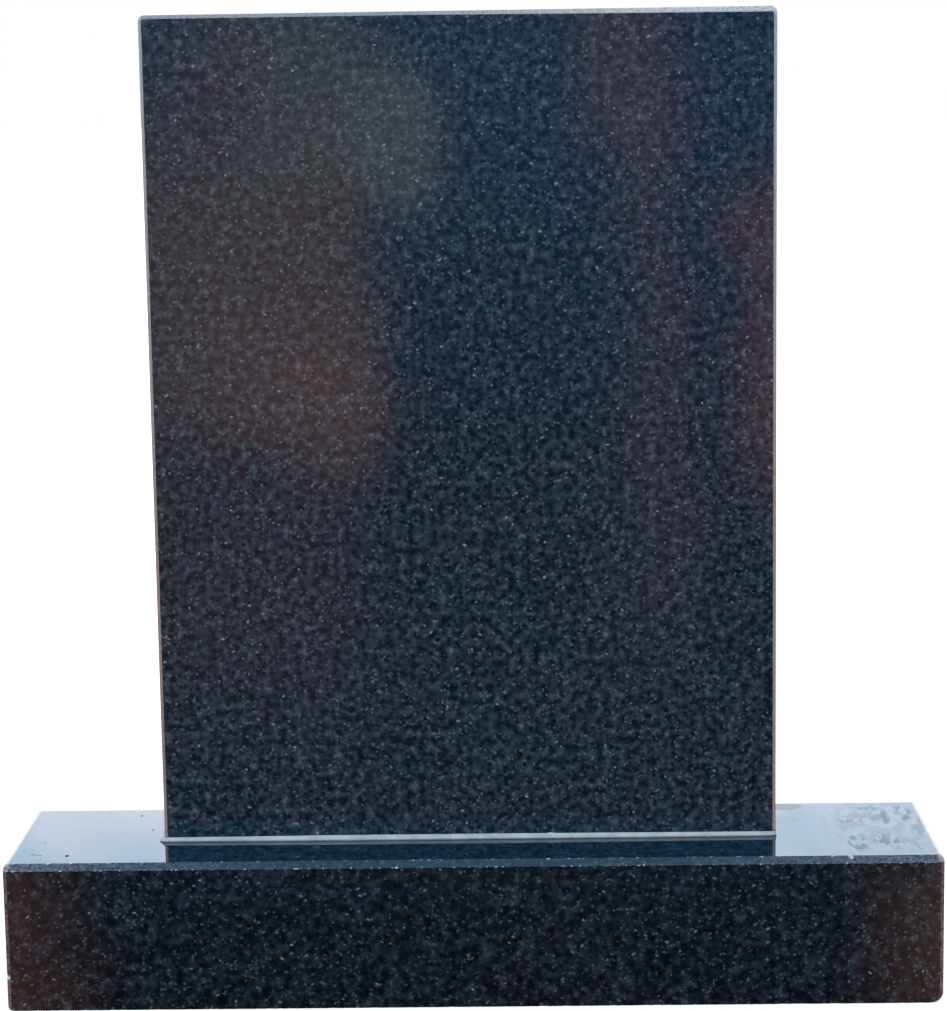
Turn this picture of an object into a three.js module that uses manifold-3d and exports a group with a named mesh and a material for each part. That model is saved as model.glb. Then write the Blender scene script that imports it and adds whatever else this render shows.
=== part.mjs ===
// A polished dark granite headstone: an upright tablet that stands on a wider low base, set in
// a thin bed of pale setting mortar. Millimetres, +Z up, +X to the viewer's right. The polished
// front faces -Y. The origin is the middle of the base's underside.
import * as THREE from "three";
import { mergeVertices } from "three/addons/utils/BufferGeometryUtils.js";
import Module from "manifold-3d";

// Tablet
const tabletWidth = 600;
const tabletHeight = 795;
const tabletThickness = 50;
const tabletArris = 4; // leg of the chamfer round the front and back faces
const tabletCornerRadius = 6; // the two top corners, seen from the front
const cornerSegments = 8;

// Base
const baseWidth = 900;
const baseDepth = 200;
const baseHeight = 145;
const baseFrontArris = 6; // leg of the broad chamfer along the front of the top
const baseBackArris = 3; // leg of the chamfer along the back of the top
const baseEndArris = 4; // leg of the chamfer round each end

// Mortar bed
const bedThickness = 5;
const bedProud = 4.5; // how far the pressed-out fillet stands beyond the tablet's foot
const bedRim = 0.8; // height of the fillet's upright rim on the base

// How the mason set the tablet on the base
const tabletSetback = 78; // base's front face to tablet's front face
const tabletShift = -3.7; // tablet's middle to base's middle, along X

const tabletFrontY = -baseDepth / 2 + tabletSetback;
const tabletMiddleY = tabletFrontY + tabletThickness / 2;
const bedBottomZ = baseHeight;
const tabletFootZ = bedBottomZ + bedThickness;

const wasm = await Module();
wasm.setup();

// A geometry's triangles as a solid, with shared corners merged.
function toSolid(geometry) {
  const bare = geometry.clone();
  bare.deleteAttribute("normal");
  bare.deleteAttribute("uv");
  const merged = mergeVertices(bare);
  return new wasm.Manifold(
    new wasm.Mesh({
      numProp: 3,
      vertProperties: merged.attributes.position.array,
      triVerts: new Uint32Array(merged.index.array),
    }),
  );
}

// A solid's triangles as a geometry with flat facets.
function toGeometry(solid) {
  const mesh = solid.getMesh();
  const indexed = new THREE.BufferGeometry();
  indexed.setAttribute("position", new THREE.BufferAttribute(mesh.vertProperties, 3));
  indexed.setIndex(new THREE.BufferAttribute(mesh.triVerts, 1));
  const geometry = indexed.toNonIndexed();
  geometry.computeVertexNormals();
  return geometry;
}

// An outline carried along its normal for the full length. Each end face is drawn in by the inset
// over the last stretch, which is as long as the chamfer, so equal ones make a 45 degree chamfer.
function chamferedSlab(outline, length, chamfer, inset = chamfer, curveSegments = 1) {
  const geometry = new THREE.ExtrudeGeometry(outline, {
    depth: length - 2 * chamfer,
    steps: 1,
    bevelEnabled: true,
    bevelSegments: 1,
    bevelThickness: chamfer,
    bevelSize: inset,
    bevelOffset: -inset,
    curveSegments,
  });
  geometry.translate(0, 0, chamfer - length / 2);
  return geometry;
}

// What is left of a shape above z = 0, when a block of the given size is taken away below it.
function sawnOff(geometry, width, depth, height) {
  const waste = new THREE.BoxGeometry(width, depth, height);
  waste.translate(0, 0, -height / 2);
  return toGeometry(toSolid(geometry).subtract(toSolid(waste)));
}

// Tablet: its front elevation, with two rounded top corners, carried through the thickness. The
// outline starts below the foot, and the overlength is sawn off square, so that the foot itself
// has no chamfer.
function tabletGeometry() {
  const half = tabletWidth / 2;
  const r = tabletCornerRadius;
  const overlength = 2 * tabletArris;
  const outline = new THREE.Shape();
  outline.moveTo(-half, -overlength);
  outline.lineTo(half, -overlength);
  outline.lineTo(half, tabletHeight - r);
  outline.absarc(half - r, tabletHeight - r, r, 0, Math.PI / 2, false);
  outline.lineTo(-half + r, tabletHeight);
  outline.absarc(-half + r, tabletHeight - r, r, Math.PI / 2, Math.PI, false);
  outline.closePath();
  const slab = chamferedSlab(outline, tabletThickness, tabletArris, tabletArris, cornerSegments);
  slab.rotateX(Math.PI / 2);
  return sawnOff(slab, 2 * tabletWidth, 2 * tabletThickness, 2 * overlength);
}

// Base: its end elevation, with a chamfer at each top edge, carried along the width.
function baseGeometry() {
  const half = baseDepth / 2;
  const outline = new THREE.Shape([
    new THREE.Vector2(-half, 0),
    new THREE.Vector2(half, 0),
    new THREE.Vector2(half, baseHeight - baseBackArris),
    new THREE.Vector2(half - baseBackArris, baseHeight),
    new THREE.Vector2(-half + baseFrontArris, baseHeight),
    new THREE.Vector2(-half, baseHeight - baseFrontArris),
  ]);
  const block = chamferedSlab(outline, baseWidth, baseEndArris);
  // The outline's x and y become Y and Z, and the run becomes X.
  block.rotateX(Math.PI / 2);
  block.rotateZ(Math.PI / 2);
  return block;
}

// Mortar bed: a flat strip under the whole foot, pressed out on all sides into a fillet that
// slopes from the tablet's foot down to a low rim on the base. The strip is made together with
// its mirror image below, which is then taken away.
function bedGeometry() {
  const halfX = tabletWidth / 2 + bedProud;
  const halfY = tabletThickness / 2 + bedProud;
  const outline = new THREE.Shape([
    new THREE.Vector2(-halfX, -halfY),
    new THREE.Vector2(halfX, -halfY),
    new THREE.Vector2(halfX, halfY),
    new THREE.Vector2(-halfX, halfY),
  ]);
  const strip = chamferedSlab(outline, 2 * bedThickness, bedThickness - bedRim, bedProud);
  return sawnOff(strip, 4 * halfX, 4 * halfY, 2 * bedThickness);
}

const polishedGranite = { color: 0x262e39, roughness: 0.06, metalness: 0 };

const tablet = new THREE.Mesh(
  tabletGeometry(),
  new THREE.MeshStandardMaterial(polishedGranite),
);
tablet.name = "tablet";
tablet.position.set(tabletShift, tabletMiddleY, tabletFootZ);

const base = new THREE.Mesh(baseGeometry(), new THREE.MeshStandardMaterial(polishedGranite));
base.name = "base";

const settingBed = new THREE.Mesh(
  bedGeometry(),
  new THREE.MeshStandardMaterial({ color: 0xb4b9bb, roughness: 0.85, metalness: 0 }),
);
settingBed.name = "setting_bed";
settingBed.position.set(tabletShift, tabletMiddleY, bedBottomZ);

const headstone = new THREE.Group();
headstone.add(base, settingBed, tablet);

export default headstone;
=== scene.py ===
"""Finishes a polished dark granite headstone: the tablet, its mortar bed and the base, as meshes
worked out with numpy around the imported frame, with their stone and mortar, the studio and the
camera.

Everything is in metres, +Z up, with the polished front towards -Y.
"""

import math

import bpy
import numpy as np
from mathutils import Matrix, Vector


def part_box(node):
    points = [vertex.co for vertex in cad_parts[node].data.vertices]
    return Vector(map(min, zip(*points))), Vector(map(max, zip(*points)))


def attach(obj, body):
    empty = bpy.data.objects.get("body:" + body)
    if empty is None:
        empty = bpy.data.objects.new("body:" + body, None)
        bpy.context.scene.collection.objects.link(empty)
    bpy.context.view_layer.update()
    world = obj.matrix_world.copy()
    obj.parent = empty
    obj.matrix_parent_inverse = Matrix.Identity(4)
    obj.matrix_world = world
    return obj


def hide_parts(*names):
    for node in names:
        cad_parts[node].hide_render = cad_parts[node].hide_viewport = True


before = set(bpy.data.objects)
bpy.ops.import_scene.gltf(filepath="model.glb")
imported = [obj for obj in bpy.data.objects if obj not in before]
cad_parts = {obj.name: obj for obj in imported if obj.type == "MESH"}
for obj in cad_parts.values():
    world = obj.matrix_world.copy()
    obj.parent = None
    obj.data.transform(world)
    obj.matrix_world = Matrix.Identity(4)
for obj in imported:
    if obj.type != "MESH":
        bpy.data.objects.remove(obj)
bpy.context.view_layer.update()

MM = 0.001
TABLET_LOW, TABLET_HIGH = (np.array(corner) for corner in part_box("tablet"))
BASE_LOW, BASE_HIGH = (np.array(corner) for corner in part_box("base"))
BED_LOW, BED_HIGH = (np.array(corner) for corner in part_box("setting_bed"))

# Arrises, as on the solids
TABLET_ARRIS = 4 * MM
TABLET_CORNER = 6 * MM
BASE_FRONT_ARRIS = 6 * MM
BASE_BACK_ARRIS = 3 * MM
BASE_END_ARRIS = 4 * MM
BASE_END_ROUND = 5 * MM  # the ends' upper arrises are rounded rather than cut
SHARP = 0.3 * MM  # radius of a corner that was only sawn
TABLET_SIDE_RUB = 0.84  # share of the arris that the side chamfers take off the front
TABLET_TOP_RUB = ((0.0, 0.45, 0.75, 1.0), (-0.15, -0.15, 0.15, 0.3))  # more or less along the top
RAGGED = 0.2 * MM  # how far the chamfers' lines waver

# The base's worn lower corners, seen from the front
WORN_RIGHT = 10 * MM
WORN_LEFT = 4 * MM
# Heights of the rings down the base's sides, and of the notch in its left front arris, in mm
WALL_LEVELS = (
    137, 120, 90, 60, 44, 38, 36.5, 35, 33.5, 32, 30.5, 28, 20, 14, 10, 8, 6, 4.5, 3, 2, 1.2, 0.5, 0,
)
NOTCH_LEVEL = 34
NOTCH_HALF_HEIGHT = 1.7
NOTCH_DEPTH = 2.2 * MM
NOTCH_REACH = 3 * MM  # along the front and the end, from the corner

# Along the mortar's front, at places in mm: the share of its reach, and how many mm it sags
MORTAR_REACH = ((-300, -240, -100, 60, 200, 300), (0.70, 0.85, 1.0, 0.9, 0.8, 0.6))
MORTAR_SAG = ((-300, -240, -120, 60, 200, 300), (1.1, 0.9, 0.3, 0.4, 0.7, 0.9))
MORTAR_SAG_ELSEWHERE = 0.3
MORTAR_RIPPLES = (5, 9, 14, 23, 41, 67, 110, 180)  # waves round the whole bed
# Up the fillet: shares of the reach, of the bed's height and of the sag
FILLET = (
    (1.00, 0.00, 0.0), (0.97, 0.12, 0.0), (0.66, 0.34, 0.3), (0.40, 0.58, 0.5), (0.20, 0.80, 0.8),
)
# The lump of mortar right of the middle
LUMP_X = 76 * MM
LUMP_HALF_WIDTH = 2.6 * MM
LUMP_HEIGHT = 0.9 * MM
WIPED_END = 6 * MM  # length of the right end that was wiped nearly flush

# Chips along each line: how many, and the ranges of their half lengths and depths
TABLET_FACE_CHIPS = (110, (0.4 * MM, 1.6 * MM), (0.05 * MM, 0.6 * MM))
TABLET_SIDE_CHIPS = (110, (0.4 * MM, 1.8 * MM), (0.05 * MM, 0.6 * MM))
BASE_TOP_CHIPS = (200, (0.7 * MM, 2.4 * MM), (0.20 * MM, 0.9 * MM))
BASE_LOW_CHIPS = (200, (0.6 * MM, 2.0 * MM), (0.15 * MM, 0.8 * MM))
BASE_FOOT_CHIPS = (260, (1.0 * MM, 6.0 * MM), (0.1 * MM, 1.2 * MM))
# The one large white chip on the base's front arris: its place, half length and depth
WHITE_CHIP_X = 361.8 * MM
WHITE_CHIP = (3.4 * MM, 2.2 * MM)

# Photograph and camera
PHOTO_WIDTH, PHOTO_HEIGHT = 947, 1011
CAMERA_PLACE = Vector((0.0528, -2.6738, 0.8965))
CAMERA_YAW = -0.01801  # towards +X from straight ahead, in radians
CAMERA_PITCH = 0.15735  # downwards
CAMERA_ROLL = 0.01512  # clockwise
FOCAL_PIXELS = 2790.8
SENSOR = 36.0


# Outlines and shells

def ring(low, high, legs, counts):
    """One closed outline of a rectangle with rounded corners, anticlockwise from its low corner.

    Each corner is a quarter circle of its leg, and each side is the straight run from one corner's
    end to the next one's start. The number of points depends on counts alone, so that rings of any
    size match up.
    """
    low, high = np.asarray(low, float), np.asarray(high, float)
    middles = [
        (low[0] + legs[0], low[1] + legs[0]),
        (high[0] - legs[1], low[1] + legs[1]),
        (high[0] - legs[2], high[1] - legs[2]),
        (low[0] + legs[3], high[1] - legs[3]),
    ]
    corners = []
    for k, middle in enumerate(middles):
        start = math.pi + k * math.pi / 2
        t = np.linspace(0, 1, counts["corner"])[:, None]
        turn = start + t * math.pi / 2
        corners.append(np.array(middle) + legs[k] * np.hstack([np.cos(turn), np.sin(turn)]))
    points = []
    for k, corner in enumerate(corners):
        t = np.linspace(0, 1, counts["sides"][k] + 1)[1:-1, None]
        points += [corner, (1 - t) * corner[-1] + t * corners[(k + 1) % 4][0]]
    return np.vstack(points)


def run_along(outline):
    """Distance along a closed outline from its first point to each point, and the whole length."""
    steps = np.linalg.norm(np.roll(outline, -1, axis=0) - outline, axis=1)
    return np.concatenate([[0], np.cumsum(steps)[:-1]]), steps.sum()


def outward(outline):
    """Unit normal at each point of a closed anticlockwise outline, from its two neighbours."""
    along = np.roll(outline, -1, axis=0) - np.roll(outline, 1, axis=0)
    normal = np.stack([along[:, 1], -along[:, 0]], axis=1)
    return normal / np.linalg.norm(normal, axis=1, keepdims=True)


def scattered_chips(rng, run, length, number, half_lengths, depths, known=()):
    """Depth of the chips along a line: each is a parabola of its own half length and depth, at a
    random place on the closed run, and where two meet the deeper one counts. known adds chips as
    (place, half length, depth)."""
    known = np.array(known).reshape(-1, 3)
    centres = np.concatenate([rng.uniform(0, length, number), known[:, 0]])
    halves = np.concatenate([rng.uniform(*half_lengths, number), known[:, 1]])
    deepest = depths[0] + (depths[1] - depths[0]) * rng.uniform(0, 1, number) ** 2.5
    deepest = np.concatenate([deepest, known[:, 2]])
    away = np.abs(run[:, None] - centres[None, :])
    away = np.minimum(away, length - away) / halves[None, :]
    return (deepest[None, :] * np.clip(1 - away ** 2, 0, None)).max(axis=1)


def chip_cut(depth, down):
    """How far a chip of this depth still cuts in at a distance down from its line: it runs out
    evenly at one and a half times its depth."""
    return depth * np.clip(1 - down / np.maximum(1.5 * depth, 1e-9), 0, 1)


def shell(name, rows, materials, bands, first_face, last_face, flip=False):
    """A closed piece from matching rings: quads between neighbouring rings, and one flat face over
    the first ring and one over the last. bands gives the material of each quad, as one row for
    each band of quads and either one column or one for each quad."""
    rows = np.asarray(rows)
    count, columns = rows.shape[:2]
    here = np.arange(count - 1)[:, None] * columns + np.arange(columns)[None, :]
    beside = np.arange(count - 1)[:, None] * columns + (np.arange(columns)[None, :] + 1) % columns
    quads = np.stack([here, beside, beside + columns, here + columns], axis=-1).reshape(-1, 4)
    first = np.arange(columns)[::-1]
    last = (count - 1) * columns + np.arange(columns)
    faces = quads.tolist() + [first.tolist(), last.tolist()]
    if flip:
        faces = [face[::-1] for face in faces]
    mesh = bpy.data.meshes.new(name)
    mesh.from_pydata(rows.reshape(-1, 3).tolist(), [], faces)
    for material in materials:
        mesh.materials.append(material)
    index = np.broadcast_to(bands, (count - 1, columns)).ravel()
    index = np.concatenate([index, [first_face, last_face]])
    mesh.polygons.foreach_set("material_index", index.astype(np.int32))
    mesh.update()
    mesh.validate()
    piece = bpy.data.objects.new(name, mesh)
    bpy.context.scene.collection.objects.link(piece)
    return piece


def mark_broken(piece, depth):
    """Stores, on each point, how freshly broken the stone is there: 0 where it is only ragged,
    and 1 where half a millimetre or more is gone."""
    attribute = piece.data.attributes.new("broken", "FLOAT", "POINT")
    attribute.data.foreach_set("value", np.clip((depth - RAGGED) / (0.3 * MM), 0, 1).ravel())


# Materials

class Steps:
    """A node tree, written as one line for each step."""

    def __init__(self, owner):
        owner.use_nodes = True
        self.nodes = owner.node_tree.nodes
        self.links = owner.node_tree.links
        self.nodes.clear()

    def add(self, kind, **settings):
        node = self.nodes.new(kind)
        for setting, value in settings.items():
            setattr(node, setting, value)
        return node

    def wire(self, node, sockets):
        """Sets or links the node's sockets, each given by its name or its place in the row."""
        for key, value in sockets.items():
            if isinstance(value, bpy.types.NodeSocket):
                self.links.new(value, node.inputs[key])
            else:
                node.inputs[key].default_value = value
        return node

    def feed(self, node, **sockets):
        """Sets or links the node's sockets by name, with underscores for spaces."""
        return self.wire(node, {name.replace("_", " "): value for name, value in sockets.items()})

    def ramp(self, value, *stops):
        """Value to colour or grey through stops of (place, colour), blended straight between."""
        node = self.add("ShaderNodeValToRGB")
        elements = node.color_ramp.elements
        while len(elements) < len(stops):
            elements.new(0.5)
        for element, (place, colour) in zip(elements, stops):
            element.position = place
            element.color = (*colour, 1) if isinstance(colour, tuple) else (colour,) * 3 + (1,)
        self.feed(node, Fac=value)
        return node.outputs["Color"]

    def mix(self, amount, first, second, blend="MIX"):
        """Two colours blended by amount."""
        node = self.add("ShaderNodeMix", data_type="RGBA", blend_type=blend)
        first, second = ((*c, 1) if isinstance(c, tuple) else c for c in (first, second))
        return self.wire(node, {0: amount, 6: first, 7: second}).outputs[2]

    def sum(self, operation, first, second=0.0, clamp=False):
        """One step of arithmetic."""
        node = self.add("ShaderNodeMath", operation=operation, use_clamp=clamp)
        return self.wire(node, {0: first, 1: second}).outputs[0]

    def vector(self, operation, first, second, third=(0, 0, 0)):
        """One step of arithmetic on places or directions."""
        node = self.add("ShaderNodeVectorMath", operation=operation)
        return self.wire(node, {0: first, 1: second, 2: third}).outputs["Vector"]


class Recipe(Steps):
    """A material, made of one gloss shader and the steps that feed it."""

    def __init__(self, name):
        self.material = bpy.data.materials.new(name)
        super().__init__(self.material)
        self.shader = self.add("ShaderNodeBsdfPrincipled")
        output = self.add("ShaderNodeOutputMaterial")
        self.links.new(self.shader.outputs["BSDF"], output.inputs["Surface"])
        self.place = self.add("ShaderNodeTexCoord").outputs["Object"]

    def noise(self, size, detail=2.0, roughness=0.5, place=None):
        """Soft noise whose patches are about size metres across, as a value from 0 to 1."""
        node = self.add("ShaderNodeTexNoise")
        place = place or self.place
        self.feed(node, Vector=place, Scale=1 / size, Detail=detail, Roughness=roughness)
        return node.outputs["Fac"]

    def cells(self, size, place):
        """Irregular cells about size metres across: distance and colour outputs."""
        node = self.add("ShaderNodeTexVoronoi")
        return self.feed(node, Vector=place, Scale=1 / size)

    def red(self, colour):
        """A colour's red part, as a plain value."""
        return self.feed(self.add("ShaderNodeSeparateColor"), Color=colour).outputs["Red"]

    def turned(self, angles, stretch, place=None):
        """Coordinates turned by angles and squeezed by stretch, for a lying grain."""
        node = self.add("ShaderNodeMapping", vector_type="TEXTURE")
        self.feed(node, Vector=place or self.place, Rotation=angles, Scale=stretch)
        return node.outputs["Vector"]

    def spot(self, x, y, half_x, half_y, strength, ragged, edge):
        """How far the surface lies inside an oval spot, from 0 outside to its strength within. The
        ragged value wavers the spot's outline, and edge sharpens it."""
        shifted = self.vector("SUBTRACT", self.place, (x, y, 0))
        squeezed = self.vector("MULTIPLY", shifted, (1 / half_x, 1 / half_y, 0))
        far = self.add("ShaderNodeVectorMath", operation="LENGTH")
        self.links.new(squeezed, far.inputs[0])
        wavering = self.sum("ADD", far.outputs["Value"], self.sum("MULTIPLY", ragged, 0.8))
        half = self.sum("MULTIPLY", wavering, 0.5)
        return self.ramp(half, (0.5 + 0.2 * edge, strength), (0.72, 0.0))

    def span(self, axis, low, high):
        """The place along an axis, as 0 at low and 1 at high."""
        parts = self.feed(self.add("ShaderNodeSeparateXYZ"), Vector=self.place)
        away = self.sum("SUBTRACT", parts.outputs[axis], float(low))
        return self.sum("MULTIPLY", away, 1 / float(high - low))

    def bump(self, height, strength, depth):
        """A relief too fine for the mesh, as a shading normal."""
        node = self.add("ShaderNodeBump")
        self.feed(node, Height=height, Strength=strength, Distance=depth)
        return node.outputs["Normal"]


# Colours of the stone's minerals, as linear light
PYROXENE = (0.0020, 0.0027, 0.0033)
DARK_GROUND = (0.0090, 0.0110, 0.0130)
GROUND = (0.0180, 0.0215, 0.0240)
MOTTLE = (0.029, 0.034, 0.037)
FELDSPAR = (0.050, 0.056, 0.060)
PALE_FELDSPAR = (0.140, 0.146, 0.150)
GLINT = (0.36, 0.36, 0.35)

# Grain sizes
MOTTLE_SIZE = 7.5 * MM
PYROXENE_SIZE = 6.0 * MM
LATH = 3.6 * MM
SPECK = 3.4 * MM
LATH_TURNS = ((0.4, 0.9, 0.3), (1.9, 0.2, 1.3), (0.8, 2.3, 2.2))
CAST_SIZE = 28 * MM
WANDER_SIZE, WANDER = 3.0 * MM, 2.4 * MM  # how finely and how far the crystals' outlines stray

# Shares of the tablet's ground and pale crystals that the base keeps. The base is a darker
# block, darkened further as painted shade, as it stood low and shaded; its top keeps less still,
# tinted blue, as painted shade and painted reflection of the blue surroundings it mirrors
BASE_SHADED_SHARES = ((0.42, 0.45, 0.48), (0.70, 0.73, 0.75))
BASE_TOP_REFLECTION_SHARES = ((0.20, 0.46, 0.80), (0.12, 0.24, 0.32))

STONE_IOR = 1.54

# Stone that was rubbed or broken. Some arris tones also hold painted shade, painted reflection
# and painted highlight, noted at each
CHAMFER = (0.205, 0.195, 0.215)
# Painted shade: the middle of the base's front chamfer, where the tablet keeps the sky off
SHADED_CHAMFER_MIDDLE = (0.020, 0.050, 0.065)
BROKEN_STONE = (0.26, 0.29, 0.31)
FRESH_BREAK = (0.60, 0.62, 0.63)
# Painted reflection of warm light from below, warmest low on the tablet's side chamfers
TABLET_SIDE_LOW_REFLECTION = (0.31, 0.185, 0.145)
TABLET_SIDE_MIDDLE_REFLECTION = (0.26, 0.215, 0.19)
TABLET_SIDE_HIGH = (0.20, 0.21, 0.215)
# Painted highlight of the sky along the tablet's top chamfer, brightest at the right
TABLET_TOP_LEFT_HIGHLIGHT = (0.29, 0.26, 0.22)
TABLET_TOP_RIGHT_HIGHLIGHT = (0.58, 0.50, 0.41)
# Painted reflection of warm light on the base's upright corners
BASE_CORNER_REFLECTION = (0.27, 0.135, 0.105)
# Painted highlight: warm cream for warm light caught on the base's end and back arrises
BASE_RIM_HIGHLIGHT = (0.68, 0.49, 0.37)
HONED_TONE = (0.20, 0.22, 0.235)

# Dirt on the base's top: each spot's middle and half sizes in metres, and its strength
DIRT_SPECKS = (
    (-0.4256, -0.0640, 0.0030, 0.0022, 0.45), (-0.4196, -0.0665, 0.0028, 0.0020, 0.45),
    (-0.3922, -0.0690, 0.0019, 0.0036, 0.95), (-0.4210, -0.0224, 0.0012, 0.0024, 0.40),
    (-0.3386, 0.0739, 0.0014, 0.0028, 0.70), (-0.3205, 0.0208, 0.0012, 0.0024, 0.70),
)
# The film's patches: dull dirt, whose tone is partly painted reflection
FILM_PATCHES = (
    (0.376, 0.034, 0.020, 0.022, 0.9), (0.428, 0.050, 0.018, 0.044, 1.0),
    (0.413, 0.040, 0.010, 0.060, 1.0), (0.373, -0.048, 0.014, 0.044, 1.0),
    (0.402, -0.048, 0.018, 0.040, 1.0), (0.398, 0.052, 0.022, 0.050, 0.9),
    (0.444, 0.000, 0.020, 0.050, 0.9), (0.424, -0.060, 0.016, 0.036, 0.8),
    (0.350, 0.030, 0.014, 0.036, 0.5), (0.402, 0.000, 0.070, 0.120, 0.7),
)
DUST_PATCHES = (
    (0.3135, 0.084, 0.022, 0.016, 0.9), (0.308, 0.034, 0.018, 0.016, 0.6),
    (0.322, 0.060, 0.012, 0.008, 0.4),
)
DIRT = (0.03, 0.03, 0.03)
# Partly a dull film, partly painted reflection of the surroundings
FILM_AND_REFLECTION = (0.13, 0.16, 0.16)
DUST = (0.17, 0.125, 0.095)


def granite_colour(recipe, shares=None):
    """Dark gabbro: a soft mottle of pyroxene and grey feldspar, black pyroxene crystals, lying
    feldspar laths in three directions with a few bright glints, and fine pale specks. shares are
    the parts of the ground's and of the pale crystals' colours that the base keeps: a darker block,
    darkened further as painted shade, and on its top tinted blue as painted reflection."""
    pale, glint = PALE_FELDSPAR, GLINT
    if shares:
        pale = tuple(tone * kept for tone, kept in zip(PALE_FELDSPAR, shares[1]))
        glint = tuple(tone * kept for tone, kept in zip(GLINT, shares[1]))
    wander = recipe.add("ShaderNodeTexNoise")
    recipe.feed(wander, Vector=recipe.place, Scale=1 / WANDER_SIZE, Detail=1.0)
    rough_place = recipe.vector("MULTIPLY_ADD", wander.outputs["Color"], (WANDER,) * 3, recipe.place)

    colour = recipe.ramp(
        recipe.noise(MOTTLE_SIZE, 2.0, 0.45),
        (0.30, PYROXENE), (0.40, DARK_GROUND), (0.48, GROUND),
        (0.56, MOTTLE), (0.66, FELDSPAR), (0.84, PALE_FELDSPAR),
    )
    if shares:
        colour = recipe.mix(1.0, colour, shares[0], "MULTIPLY")
    black = recipe.cells(PYROXENE_SIZE, rough_place)
    picked = recipe.ramp(recipe.red(black.outputs["Color"]), (0.46, 0.0), (0.66, 1.0))
    core = recipe.ramp(black.outputs["Distance"], (0.22, 0.9), (0.50, 0.0))
    colour = recipe.mix(recipe.sum("MULTIPLY", picked, core), colour, PYROXENE)
    for turns in LATH_TURNS:
        lath = recipe.cells(LATH, recipe.turned(turns, (1.0, 1.0, 1.9), rough_place))
        lot = recipe.red(lath.outputs["Color"])
        core = recipe.ramp(lath.outputs["Distance"], (0.10, 1.0), (0.44, 0.0))
        picked = recipe.ramp(lot, (0.84, 0.0), (0.98, 0.9))
        colour = recipe.mix(recipe.sum("MULTIPLY", picked, core), colour, pale)
        core = recipe.ramp(lath.outputs["Distance"], (0.10, 1.0), (0.34, 0.0))
        picked = recipe.ramp(lot, (0.990, 0.0), (0.994, 0.8))
        colour = recipe.mix(recipe.sum("MULTIPLY", picked, core), colour, glint)
    speck = recipe.cells(SPECK, rough_place)
    picked = recipe.ramp(recipe.red(speck.outputs["Color"]), (0.84, 0.0), (0.97, 0.9))
    core = recipe.ramp(speck.outputs["Distance"], (0.18, 1.0), (0.48, 0.0))
    colour = recipe.mix(recipe.sum("MULTIPLY", picked, core), colour, pale)
    cast = recipe.ramp(
        recipe.noise(CAST_SIZE, 1.0), (0.36, (0.93, 1.03, 0.98)), (0.64, (1.07, 0.97, 1.03)),
    )
    return recipe.mix(1.0, colour, cast, "MULTIPLY")


def polished_granite(name, shares=None):
    """The mirror-polished faces: the bare crystals under a sharp gloss."""
    recipe = Recipe(name)
    colour = granite_colour(recipe, shares)
    gloss = recipe.ramp(recipe.noise(30 * MM, 2.0), (0.3, 0.035), (0.7, 0.075))
    recipe.feed(recipe.shader, Base_Color=colour, Roughness=gloss, IOR=STONE_IOR)
    return recipe.material


def base_top_granite():
    """The base's polished top, with the dirt lying on it: a few dark specks near the left end,
    and near the right end a thin dull film in streaks and some dust by the tablet's foot. The
    film's greenish grey and its lengthwise streaks are partly painted reflection of the
    surroundings, and the stone under it is darkened and tinted blue as painted shade and painted
    reflection."""
    recipe = Recipe("base_top_polish")
    # Darkened and tinted blue: painted shade and painted reflection of the blue surroundings
    colour = granite_colour(recipe, BASE_TOP_REFLECTION_SHARES)
    ragged = recipe.noise(5 * MM, 4.0, 0.65)
    film, dust, specks = 0.0, 0.0, 0.0
    for spot in FILM_PATCHES:
        film = recipe.sum("MAXIMUM", film, recipe.spot(*spot, ragged, 0.0))
    # Lengthwise streaks: painted reflection of the surroundings in the film
    streaks = recipe.noise(9 * MM, 3.0, 0.6, recipe.turned((0, 0, 0), (1.0, 3.0, 1.0)))
    film = recipe.sum("MULTIPLY", film, recipe.ramp(streaks, (0.40, 0.0), (0.54, 1.0)))
    for spot in DUST_PATCHES:
        dust = recipe.sum("MAXIMUM", dust, recipe.spot(*spot, ragged, 0.4))
    # Dust has also settled along the back edge
    to_back = recipe.span("Y", BASE_HIGH[1] - 12 * MM, BASE_HIGH[1])
    along_back = recipe.ramp(to_back, (0.35, 0.0), (0.6, 0.5))
    dust = recipe.sum("MAXIMUM", dust, recipe.sum("MULTIPLY", along_back, ragged))
    for spot in DIRT_SPECKS:
        specks = recipe.sum("MAXIMUM", specks, recipe.spot(*spot, ragged, 0.7))
    gloss = recipe.ramp(recipe.noise(40 * MM, 4.0), (0.3, 0.03), (0.7, 0.07))
    gloss = recipe.sum("ADD", gloss, recipe.sum("MULTIPLY", film, 0.16))
    gloss = recipe.sum("MAXIMUM", gloss, recipe.sum("MULTIPLY", specks, 0.9))
    colour = recipe.mix(recipe.sum("MULTIPLY", film, 0.8), colour, FILM_AND_REFLECTION)
    colour = recipe.mix(dust, colour, DUST)
    colour = recipe.mix(specks, colour, DIRT)
    dulled = recipe.sum("MAXIMUM", recipe.sum("MAXIMUM", film, dust), specks)
    shine = recipe.sum("SUBTRACT", 0.5, recipe.sum("MULTIPLY", dulled, 0.46))
    recipe.feed(recipe.shader, Base_Color=colour, Roughness=gloss, IOR=STONE_IOR,
                Specular_IOR_Level=shine)
    return recipe.material


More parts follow.
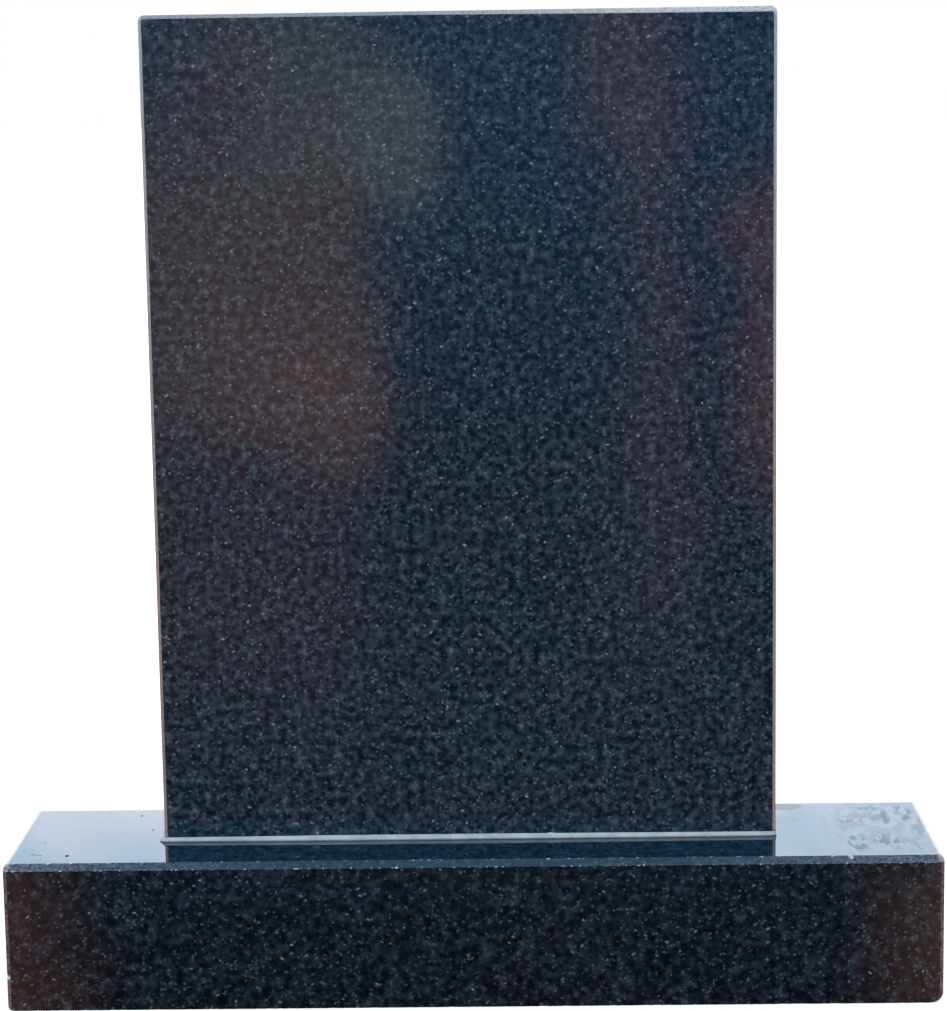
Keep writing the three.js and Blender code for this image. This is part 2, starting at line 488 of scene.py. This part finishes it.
def rubbed_granite(recipe, shares, rub, tone, shine=0.5, least=0.1):
    """Finishes a chamfer's recipe: stone rubbed by hand to a paler, duller tone, with the paler
    breaks where chips are gone. The rub goes down to the least part of itself in places."""
    uneven = recipe.ramp(recipe.noise(2.4 * MM, 2.0, 0.6), (0.36, least), (0.64, 2.0 - least))
    rub = recipe.sum("MULTIPLY", uneven, rub, clamp=True)
    colour = recipe.mix(rub, granite_colour(recipe, shares), tone)
    broken = recipe.add("ShaderNodeAttribute", attribute_name="broken").outputs["Fac"]
    fresh = recipe.ramp(recipe.noise(6 * MM, 1.0), (0.50, BROKEN_STONE), (0.62, FRESH_BREAK))
    colour = recipe.mix(broken, colour, fresh)
    gloss = recipe.ramp(recipe.noise(2 * MM, 2.0), (0.3, 0.22), (0.7, 0.38))
    grit = recipe.noise(0.7 * MM, 2.0)
    recipe.feed(recipe.shader, Base_Color=colour, Roughness=gloss, IOR=STONE_IOR,
                Specular_IOR_Level=shine, Normal=recipe.bump(grit, 0.3, 0.1 * MM))
    return recipe.material


def tablet_arris():
    """The tablet's chamfers. In front they are warm low down on the sides, a painted reflection of
    warm light from below, grey higher up, and palest along the top, more so towards the right, a
    painted highlight of the sky. At the back they are plain grey."""
    recipe = Recipe("tablet_arris")
    height = recipe.span("Z", TABLET_LOW[2], TABLET_HIGH[2])
    # Painted reflection of warm light, warmest low down the sides
    side = recipe.ramp(
        height, (0.45, TABLET_SIDE_LOW_REFLECTION), (0.75, TABLET_SIDE_MIDDLE_REFLECTION), (0.94, TABLET_SIDE_HIGH),
    )
    rightward = recipe.span("X", TABLET_LOW[0], TABLET_HIGH[0])
    # Painted highlight along the top, brightest towards the right
    top = recipe.ramp(rightward, (0.40, TABLET_TOP_LEFT_HIGHLIGHT), (0.85, TABLET_TOP_RIGHT_HIGHLIGHT))
    at_top = recipe.ramp(height, (0.991, 0.0), (0.994, 1.0))
    behind = recipe.ramp(recipe.span("Y", TABLET_LOW[1], TABLET_HIGH[1]), (0.3, 0.0), (0.7, 1.0))
    tone = recipe.mix(behind, recipe.mix(at_top, side, top), HONED_TONE)
    return rubbed_granite(recipe, None, 0.9, tone, least=0.65)


def base_arris():
    """The base's top arrises: dark in the middle of the front, a painted shade where the tablet
    keeps the sky off it, greyer towards its ends, and a pale cream rim round the two ends and along
    the back, a painted highlight of warm light."""
    recipe = Recipe("base_arris")
    middle_to_end = recipe.sum("ABSOLUTE", recipe.span("X", 0, BASE_HIGH[0]))
    end = recipe.ramp(middle_to_end, (0.984, 0.0), (0.988, 1.0))
    from_front = recipe.span("Y", BASE_LOW[1], BASE_LOW[1] + 10 * MM)
    past_front = recipe.ramp(from_front, (0.4, 0.25), (0.9, 1.0))
    end = recipe.sum("MULTIPLY", end, past_front)
    back = recipe.ramp(recipe.span("Y", BASE_LOW[1], BASE_HIGH[1]), (0.97, 0.0), (0.98, 1.0))
    # The rim is a painted highlight of warm light, so its shine is turned down
    rim = recipe.sum("MAXIMUM", end, back)
    # Painted shade, darkest in the middle where the tablet shades the chamfer
    cut = recipe.ramp(middle_to_end, (0.45, SHADED_CHAMFER_MIDDLE), (0.95, CHAMFER))
    rub = recipe.sum("MAXIMUM", 0.36, recipe.sum("MULTIPLY", rim, 4.0))
    shine = recipe.sum("SUBTRACT", 0.5, recipe.sum("MULTIPLY", rim, 0.42))
    return rubbed_granite(recipe, BASE_SHADED_SHARES, rub, recipe.mix(rim, cut, BASE_RIM_HIGHLIGHT), shine)


def base_corner():
    """The base's upright corners: lightly rubbed, with a warm brown that is a painted reflection
    of warm light.
    """
    return rubbed_granite(Recipe("base_corner"), BASE_SHADED_SHARES, 0.5, BASE_CORNER_REFLECTION)


def honed_granite():
    """The back: rubbed flat but not polished, greyer, with a satin sheen."""
    recipe = Recipe("honed_granite")
    colour = recipe.mix(0.18, granite_colour(recipe), HONED_TONE)
    gloss = recipe.ramp(recipe.noise(12 * MM, 3.0), (0.3, 0.30), (0.7, 0.40))
    grit = recipe.noise(0.9 * MM, 3.0)
    recipe.feed(recipe.shader, Base_Color=colour, Roughness=gloss, IOR=STONE_IOR,
                Normal=recipe.bump(grit, 0.15, 0.08 * MM))
    return recipe.material


def sawn_granite():
    """The underside and the tablet's foot: straight from the saw, pale and dull, with its marks."""
    recipe = Recipe("sawn_granite")
    colour = recipe.mix(0.6, granite_colour(recipe), HONED_TONE)
    marks = recipe.add("ShaderNodeTexWave", wave_type="BANDS", bands_direction="X")
    recipe.feed(marks, Vector=recipe.place, Scale=55.0, Distortion=1.5, Detail=2.0)
    grit = recipe.sum("ADD", marks.outputs["Fac"], recipe.noise(1.2 * MM, 4.0))
    recipe.feed(recipe.shader, Base_Color=colour, Roughness=0.72, IOR=STONE_IOR,
                Normal=recipe.bump(grit, 0.5, 0.2 * MM))
    return recipe.material


def setting_mortar():
    """Off-white mortar: fine sand in a pale binder, a little greyer where dust has stuck, and
    darker along its foot, a painted shade where it meets the base."""
    recipe = Recipe("setting_mortar")
    sand = recipe.noise(0.8 * MM, 4.0, 0.7)
    dust = recipe.noise(14 * MM, 3.0)
    colour = recipe.ramp(sand, (0.30, (0.40, 0.40, 0.38)), (0.70, (0.58, 0.575, 0.54)))
    shade = recipe.ramp(dust, (0.35, 0.78), (0.65, 1.0))
    colour = recipe.mix(1.0, colour, shade, "MULTIPLY")
    # Painted shade: darker towards the foot, where the mortar meets the base
    foot_shade = recipe.ramp(recipe.span("Z", BED_LOW[2], BED_HIGH[2]), (0.08, 0.26), (0.36, 1.0))
    colour = recipe.mix(1.0, colour, foot_shade, "MULTIPLY")
    recipe.feed(recipe.shader, Base_Color=colour, Roughness=0.88,
                Normal=recipe.bump(sand, 0.6, 0.25 * MM))
    return recipe.material


# Pieces

POLISHED, EASED, HONED, SAWN, TOP, CORNER = range(6)
ARRIS_STEPS = 8
TABLET_SEED, BASE_SEED, MORTAR_SEED = 41, 7, 19


def tablet(stones):
    """The tablet: its front outline carried from the front face over the chamfer, along the edge
    and over the back chamfer. The rings lie in upright planes, and the foot stays square."""
    counts = {"corner": 9, "sides": [480, 640, 480, 640]}
    rng = np.random.default_rng(TABLET_SEED)
    width_low, width_high = TABLET_LOW[0], TABLET_HIGH[0]
    foot, top = TABLET_LOW[2], TABLET_HIGH[2]
    front, back = TABLET_LOW[1], TABLET_HIGH[1]

    def outline(inset):
        """The front outline drawn in by the inset: less at the sides, where the chamfer was rubbed
        narrower, and more towards the top's right end, where it was rubbed wider."""
        legs = [SHARP, SHARP] + [max(TABLET_CORNER - inset, 1.5 * MM)] * 2
        aside = TABLET_SIDE_RUB * inset
        drawn = ring((width_low + aside, foot), (width_high - aside, top - inset), legs, counts)
        at_top = np.clip((drawn[:, 1] - (top - 12 * MM)) / (6 * MM), 0, 1)
        rightward = np.clip((drawn[:, 0] - width_low) / (width_high - width_low), 0, 1)
        drawn[:, 1] -= at_top * inset * np.interp(rightward, *TABLET_TOP_RUB)
        return drawn

    edge = outline(0)
    run, length = run_along(edge)
    out = outward(edge)
    above_foot = edge[:, 1] > foot + 2 * MM

    rows, worn = [], []
    for side, away in ((front, 1), (back, -1)):
        face_chips = scattered_chips(rng, run, length, *TABLET_FACE_CHIPS)
        side_chips = scattered_chips(rng, run, length, *TABLET_SIDE_CHIPS)
        face_chips = above_foot * (face_chips + rng.uniform(0, RAGGED, len(edge)))
        side_chips = above_foot * (side_chips + rng.uniform(0, RAGGED, len(edge)))
        block, marks = [], []
        for t in np.linspace(0, 1, ARRIS_STEPS + 1):
            from_face = chip_cut(face_chips, TABLET_ARRIS * t)
            from_side = chip_cut(side_chips, TABLET_ARRIS * (1 - t))
            flat = outline(TABLET_ARRIS * (1 - t)) - out * from_face[:, None]
            depth = side + away * (TABLET_ARRIS * t + from_side)
            block.append(np.column_stack([flat[:, 0], depth, flat[:, 1]]))
            marks.append(from_face + from_side)
        rows += block[::away]
        worn += marks[::away]
    bands = [[EASED]] * ARRIS_STEPS + [[POLISHED]] + [[EASED]] * ARRIS_STEPS
    piece = shell("granite_tablet", rows, stones, bands, POLISHED, HONED)
    mark_broken(piece, np.array(worn))
    return piece


def base(stones):
    """The base: its plan outline carried from the polished top over its arris and down to the
    sawn underside. The arris is a flat chamfer along the front and rounded round the other sides,
    and the lower corners are worn."""
    counts = {"corner": 7, "sides": [900, 150, 380, 150]}
    rng = np.random.default_rng(BASE_SEED)
    low, high = BASE_LOW, BASE_HIGH
    corner, sides = counts["corner"], counts["sides"]

    def by_side(front, right, rear, left):
        """A value for every column: each side's own, blended over the corner before it."""
        values, order = [], [front, right, rear, left]
        for k, value in enumerate(order):
            before = order[k - 1]
            values += [np.linspace(before, value, corner), np.full(sides[k] - 1, value)]
        return np.concatenate(values)

    plain = ring(low[:2], high[:2], [BASE_END_ARRIS] * 4, counts)
    run, length = run_along(plain)
    out = outward(plain)
    white_chip = run[np.argmin(np.hypot(plain[:, 0] - WHITE_CHIP_X, plain[:, 1] - low[1]))]
    top_chips = scattered_chips(rng, run, length, *BASE_TOP_CHIPS, [(white_chip, *WHITE_CHIP)])
    low_chips = scattered_chips(rng, run, length, *BASE_LOW_CHIPS)
    top_chips = top_chips + rng.uniform(0, RAGGED, len(plain))
    low_chips = low_chips + rng.uniform(0, RAGGED, len(plain))
    foot_chips = scattered_chips(rng, run, length, *BASE_FOOT_CHIPS)

    rows, worn = [], []
    for t in np.linspace(0, 1, ARRIS_STEPS + 1):
        # The rounded sides follow a quarter circle, and the front a straight cut
        turn = t * math.pi / 2
        inward, downward = 1 - math.sin(turn), 1 - math.cos(turn)
        inset_low = low[:2] + (BASE_END_ROUND * inward, BASE_FRONT_ARRIS * (1 - t))
        inset_high = high[:2] - (BASE_END_ROUND * inward, BASE_BACK_ARRIS * inward)
        legs = [max(BASE_END_ARRIS * math.sin(turn), SHARP)] * 4
        from_top = chip_cut(top_chips, BASE_FRONT_ARRIS * t)
        from_low = chip_cut(low_chips, BASE_FRONT_ARRIS * (1 - t))
        flat = ring(inset_low, inset_high, legs, counts) - out * from_top[:, None]
        end_drop, back_drop = BASE_END_ROUND * downward, BASE_BACK_ARRIS * downward
        drop = by_side(BASE_FRONT_ARRIS * t, end_drop, back_drop, end_drop)
        rows.append(np.column_stack([flat, high[2] - drop - from_low]))
        worn.append(from_top + from_low)
    arris_drop = by_side(BASE_FRONT_ARRIS, BASE_END_ROUND, BASE_BACK_ARRIS, BASE_END_ROUND)
    from_corner = np.hypot(plain[:, 0] - low[0], plain[:, 1] - low[1])
    near_left_front = np.exp(-((from_corner / NOTCH_REACH) ** 2))
    for level in WALL_LEVELS:
        height = np.minimum(level * MM, high[2] - arris_drop - 1 * MM * (level > 100))
        left = WORN_LEFT - math.sqrt(WORN_LEFT ** 2 - max(WORN_LEFT - level * MM, 0) ** 2)
        right = WORN_RIGHT - math.sqrt(WORN_RIGHT ** 2 - max(WORN_RIGHT - level * MM, 0) ** 2)
        flat = ring(low[:2] + (left, 0), high[:2] - (right, 0), [BASE_END_ARRIS] * 4, counts)
        beside_notch = (level - NOTCH_LEVEL) / NOTCH_HALF_HEIGHT
        notch = NOTCH_DEPTH * near_left_front * math.exp(-(beside_notch ** 2))
        cut = notch + chip_cut(foot_chips, level * MM)
        rows.append(np.column_stack([flat - out * cut[:, None], height]))
        worn.append(notch)
    wall = np.concatenate([
        np.concatenate([np.full(corner - 1, CORNER), np.full(number, finish)])
        for number, finish in zip(sides, (POLISHED, POLISHED, HONED, POLISHED))
    ])
    eased = np.full((ARRIS_STEPS, len(wall)), EASED)
    bands = np.vstack([eased, np.tile(wall, (len(WALL_LEVELS), 1))])
    piece = shell("granite_base", rows, stones, bands, TOP, SAWN, flip=True)
    mark_broken(piece, np.array(worn))
    return piece


def mortar_bed(mortar):
    """The mortar bed: the plan outline of the tablet's foot, carried from a low rim on the base's
    top up a slightly hollow fillet to the tablet's faces, and in under the foot. The fillet stands
    out as far as the solid's, less by a ripple along its run."""
    counts = {"corner": 4, "sides": [600, 60, 600, 60]}
    rng = np.random.default_rng(MORTAR_SEED)
    low = np.array([TABLET_LOW[0], TABLET_LOW[1]])
    high = np.array([TABLET_HIGH[0], TABLET_HIGH[1]])
    bottom, foot = BED_LOW[2], BED_HIGH[2]
    proud = TABLET_LOW[1] - BED_LOW[1]
    plain = ring(low, high, [SHARP] * 4, counts)
    out = outward(plain)
    run, length = run_along(plain)
    turn = 2 * math.pi * run / length
    ripple = sum(
        rng.uniform(0.4, 1.0) / wave ** 0.5 * np.sin(wave * turn + rng.uniform(0, 2 * math.pi))
        for wave in MORTAR_RIPPLES
    )
    ripple = (ripple - ripple.min()) / (ripple.max() - ripple.min())
    on_front = plain[:, 1] < low[1] + SHARP
    # Wiped nearly flush round the right end, as seen from the front
    wiped = np.clip((plain[:, 0] - (high[0] - WIPED_END)) / WIPED_END, 0, 1)
    along = plain[:, 0] / MM
    reach = proud * (1 - 0.22 * ripple) * (1 - 0.85 * wiped)
    reach = reach * np.where(on_front, np.interp(along, *MORTAR_REACH), 1)
    lump = np.exp(-((plain[:, 0] - LUMP_X) / LUMP_HALF_WIDTH) ** 2) * LUMP_HEIGHT
    sag = np.where(on_front, np.interp(along, *MORTAR_SAG), MORTAR_SAG_ELSEWHERE) * MM
    rise = 0.05 * MM + 0.35 * MM * ripple + np.where(on_front, lump, 0)
    height = foot - bottom
    section = [
        (out_share * reach, bottom + up_share * height - sag_share * sag)
        for out_share, up_share, sag_share in FILLET
    ]
    section += [
        (0.08 * reach, foot - 0.2 * MM - sag),
        (0.02 * MM + 0 * reach, foot + rise - sag),
        (0.0 * reach, foot - 0.02 * MM - sag),
    ]
    rows = []
    for stand_off, level in section:
        flat = plain + out * stand_off[:, None]
        rows.append(np.column_stack([flat, level]))
    return shell("mortar_bed", rows, [mortar], [[0]] * (len(section) - 1), 0, 0)


# Studio

FLOOR_HALF_SIZE = 40.0

# The light over the stone, as linear light. Heights are the upward part of a direction, from -1
# to 1, and places across are its part to the right.
FRONT_SKY = (
    (-0.60, (0.03, 0.04, 0.05)), (-0.36, (0.02, 0.04, 0.06)), (-0.31, (0.03, 0.06, 0.10)),
    (-0.285, (0.04, 0.10, 0.16)), (-0.265, (0.03, 0.10, 0.19)), (-0.14, (0.04, 0.13, 0.28)),
    (-0.03, (0.07, 0.30, 0.70)), (0.02, (0.10, 0.36, 0.80)), (0.14, (0.30, 0.78, 1.35)),
    (0.235, (0.38, 0.86, 1.40)), (0.26, (0.08, 0.88, 1.75)), (0.305, (0.08, 0.88, 1.75)),
    (0.33, (0.50, 0.95, 1.45)), (0.46, (1.45, 1.60, 1.75)), (0.74, (1.45, 1.60, 1.75)),
    (0.90, (0.35, 0.78, 1.35)), (1.0, (0.28, 0.70, 1.25)),
)
REAR_SKY = (
    (-0.40, (0.30, 0.22, 0.16)), (-0.20, (1.60, 1.15, 0.80)), (-0.02, (2.60, 2.00, 1.50)),
    (0.06, (2.0, 2.4, 2.8)), (0.255, (2.15, 2.48, 2.82)), (0.29, (1.62, 2.12, 2.62)),
    (0.40, (1.85, 2.3, 2.75)), (0.74, (1.2, 1.6, 2.1)), (0.90, (0.35, 0.78, 1.35)),
    (1.0, (0.28, 0.70, 1.25)),
)
REAR_ACROSS = (
    (-0.165, (0.84, 0.92, 0.96)), (-0.14, (0.96, 0.98, 0.99)), (-0.12, (1, 1, 1)),
    (0.09, (1, 1, 1)), (0.13, (0.90, 0.93, 0.94)),
)
SIDE_SKY = (
    (-0.40, (0.12, 0.11, 0.10)), (-0.16, (0.45, 0.36, 0.32)), (-0.02, (2.2, 2.3, 2.4)),
    (0.20, (1.9, 2.1, 2.3)), (0.74, (1.3, 1.6, 2.0)), (1.0, (0.28, 0.70, 1.25)),
)
CLOUD_TONES = ((0.36, (0.84, 0.94, 0.99)), (0.66, (1.30, 1.12, 1.05)))
# Soft patches of colour in front: each has its colour and strength, then where it starts, is
# full, begins to fade and ends, across and upwards
FRONT_PATCHES = (
    ((0.80, 0.56, 0.58), 0.95, (-0.160, -0.120, -0.062, -0.050), (-0.15, -0.132, -0.05, 0.05)),
    ((1.15, 0.64, 0.62), 0.75, (-0.115, -0.095, -0.058, -0.050), (-0.142, -0.136, -0.10, -0.08)),
    ((1.00, 1.22, 1.24), 0.75, (-0.066, -0.054, -0.036, -0.028), (-0.058, -0.045, -0.012, -0.002)),
    ((1.05, 0.62, 0.66), 0.45, (-0.122, -0.112, -0.100, -0.090), (-0.008, -0.002, 0.008, 0.014)),
    ((0.85, 1.05, 1.05), 0.45, (-0.105, -0.090, -0.060, -0.040), (-0.05, -0.035, 0.0, 0.03)),
    ((0.34, 0.24, 0.36), 0.80, (-0.150, -0.120, -0.070, -0.045), (-0.26, -0.20, -0.15, -0.12)),
    ((0.62, 0.40, 0.66), 0.60, (0.028, 0.042, 0.054, 0.060), (-0.24, -0.14, -0.02, 0.02)),
    ((0.66, 0.50, 0.76), 0.75, (0.018, 0.026, 0.050, 0.060), (-0.035, -0.02, 0.03, 0.06)),
    ((0.82, 0.42, 0.55), 0.90, (0.072, 0.081, 0.100, 0.115), (-0.16, -0.13, -0.045, -0.025)),
    ((0.80, 0.32, 0.24), 0.95, (-0.30, -0.25, -0.183, -0.148), (-0.42, -0.38, -0.285, -0.270)),
    ((0.85, 0.40, 0.26), 0.95, (0.108, 0.150, 0.20, 0.26), (-0.42, -0.38, -0.285, -0.270)),
    ((0.14, 0.06, 0.06), 0.20, (-0.03, 0.0, 0.02, 0.05), (-0.36, -0.32, -0.30, -0.28)),
)


def pale_floor():
    """A wide pale floor. The polished faces don't mirror it, as they would show it dazzling."""
    mesh = bpy.data.meshes.new("floor")
    half = FLOOR_HALF_SIZE
    corners = [(-half, -half, 0), (half, -half, 0), (half, half, 0), (-half, half, 0)]
    mesh.from_pydata(corners, [], [(0, 1, 2, 3)])
    floor = bpy.data.objects.new("floor", mesh)
    bpy.context.scene.collection.objects.link(floor)
    recipe = Recipe("pale_floor")
    tone = recipe.ramp(recipe.noise(0.6, 3.0), (0.3, (0.95, 0.84, 0.79)), (0.7, (0.97, 0.86, 0.81)))
    # A little light of its own keeps it as white as the paper roll behind a studio set
    recipe.feed(recipe.shader, Base_Color=tone, Roughness=0.9,
                Emission_Color=(1.0, 0.93, 0.86, 1.0), Emission_Strength=0.45)
    mesh.materials.append(recipe.material)
    floor.visible_glossy = False
    floor.visible_diffuse = False


def soft_light():
    """A soft dome: bright behind and above the stone, where its top mirrors it, gentler in front,
    and dim below the horizon, with the camera itself seeing plain white."""
    world = bpy.data.worlds.new("soft_studio")
    bpy.context.scene.world = world
    sky = Steps(world)
    direction = sky.add("ShaderNodeTexCoord").outputs["Generated"]
    parts = sky.feed(sky.add("ShaderNodeSeparateXYZ"), Vector=direction)
    across, upward = parts.outputs["X"], parts.outputs["Z"]

    def share(value, stops):
        """A ramp over a part of the direction, with stops in the part's own units."""
        low, high = stops[0][0], stops[-1][0]
        spread = sky.feed(sky.add("ShaderNodeMapRange"), Value=value, From_Min=low, From_Max=high)
        stops = (((at - low) / (high - low), tone) for at, tone in stops)
        return sky.ramp(spread.outputs[0], *stops)

    # The patches of colour waver, so that none has a straight edge
    waver = sky.add("ShaderNodeTexNoise")
    sky.feed(waver, Vector=direction, Scale=14.0, Detail=3.0)
    moved = sky.vector("SUBTRACT", direction, (0.025, 0.0, 0.025))
    wavering = sky.vector("MULTIPLY_ADD", waver.outputs["Color"], (0.05, 0.0, 0.05), moved)
    loose = sky.feed(sky.add("ShaderNodeSeparateXYZ"), Vector=wavering)
    front = share(upward, FRONT_SKY)
    for colour, strength, sideways, upwards in FRONT_PATCHES:
        shown = [
            share(value, list(zip(places, (0.0, 1.0, 1.0, 0.0))))
            for value, places in ((loose.outputs["X"], sideways), (loose.outputs["Z"], upwards))
        ]
        amount = sky.sum("MULTIPLY", sky.sum("MULTIPLY", *shown), strength)
        front = sky.mix(amount, front, colour)

    # Faint clouds, which the base's top mirrors
    clouds = sky.add("ShaderNodeTexNoise")
    sky.feed(clouds, Vector=direction, Scale=34.0, Detail=2.0)
    cloud_tones = sky.ramp(clouds.outputs["Fac"], *CLOUD_TONES)
    rear = sky.mix(1.0, share(upward, REAR_SKY), share(across, REAR_ACROSS), "MULTIPLY")
    rear = sky.mix(1.0, rear, cloud_tones, "MULTIPLY")

    behind = sky.add("ShaderNodeMapRange")
    sky.feed(behind, Value=parts.outputs["Y"], From_Min=-0.15, From_Max=0.35)
    sideness = share(across, ((-0.8, 1.0), (-0.35, 0.0), (0.35, 0.0), (0.8, 1.0)))
    front_or_rear = sky.mix(behind.outputs[0], front, rear)
    dome = sky.mix(sideness, front_or_rear, share(upward, SIDE_SKY))
    light = sky.feed(sky.add("ShaderNodeBackground"), Color=dome)
    plain = sky.feed(sky.add("ShaderNodeBackground"), Color=(1, 1, 1, 1))
    seen = sky.add("ShaderNodeLightPath").outputs["Is Camera Ray"]
    both = sky.add("ShaderNodeMixShader")
    sky.wire(both, {0: seen, 1: light.outputs[0], 2: plain.outputs[0]})
    sky.feed(sky.add("ShaderNodeOutputWorld"), Surface=both.outputs[0])


def camera():
    """The camera at the photograph's place, turned by yaw, then pitch, then roll."""
    yaw, pitch, roll = CAMERA_YAW, CAMERA_PITCH, CAMERA_ROLL
    forward = math.cos(pitch)
    ahead = Vector((math.sin(yaw) * forward, math.cos(yaw) * forward, -math.sin(pitch)))
    level = Vector((math.cos(yaw), -math.sin(yaw), 0))
    down = ahead.cross(level)
    right = math.cos(roll) * level + math.sin(roll) * down
    up = math.sin(roll) * level - math.cos(roll) * down
    data = bpy.data.cameras.new("camera")
    data.sensor_width = SENSOR
    data.lens = FOCAL_PIXELS / max(PHOTO_WIDTH, PHOTO_HEIGHT) * SENSOR
    view = bpy.data.objects.new("camera", data)
    turn = Matrix((right, up, -ahead)).transposed().to_4x4()
    view.matrix_world = Matrix.Translation(CAMERA_PLACE) @ turn
    bpy.context.scene.collection.objects.link(view)
    bpy.context.scene.camera = view


def main():
    bpy.context.scene.view_settings.view_transform = "Standard"
    camera()
    honed, sawn = honed_granite(), sawn_granite()
    tablet_stones = [polished_granite("tablet_polish"), tablet_arris(), honed]
    # The base's stone is darkened as painted shade, besides being a darker block
    base_polish = polished_granite("base_polish", BASE_SHADED_SHARES)
    base_stones = [base_polish, base_arris(), honed, sawn, base_top_granite(), base_corner()]
    mortar = setting_mortar()
    for piece, node, slot in (
        (tablet(tablet_stones), "tablet", "polished_granite"),
        (base(base_stones), "base", "polished_granite"),
        (mortar_bed(mortar), "setting_bed", "setting_mortar"),
    ):
        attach(piece, "root")
        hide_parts(node)
    pale_floor()
    soft_light()


main()
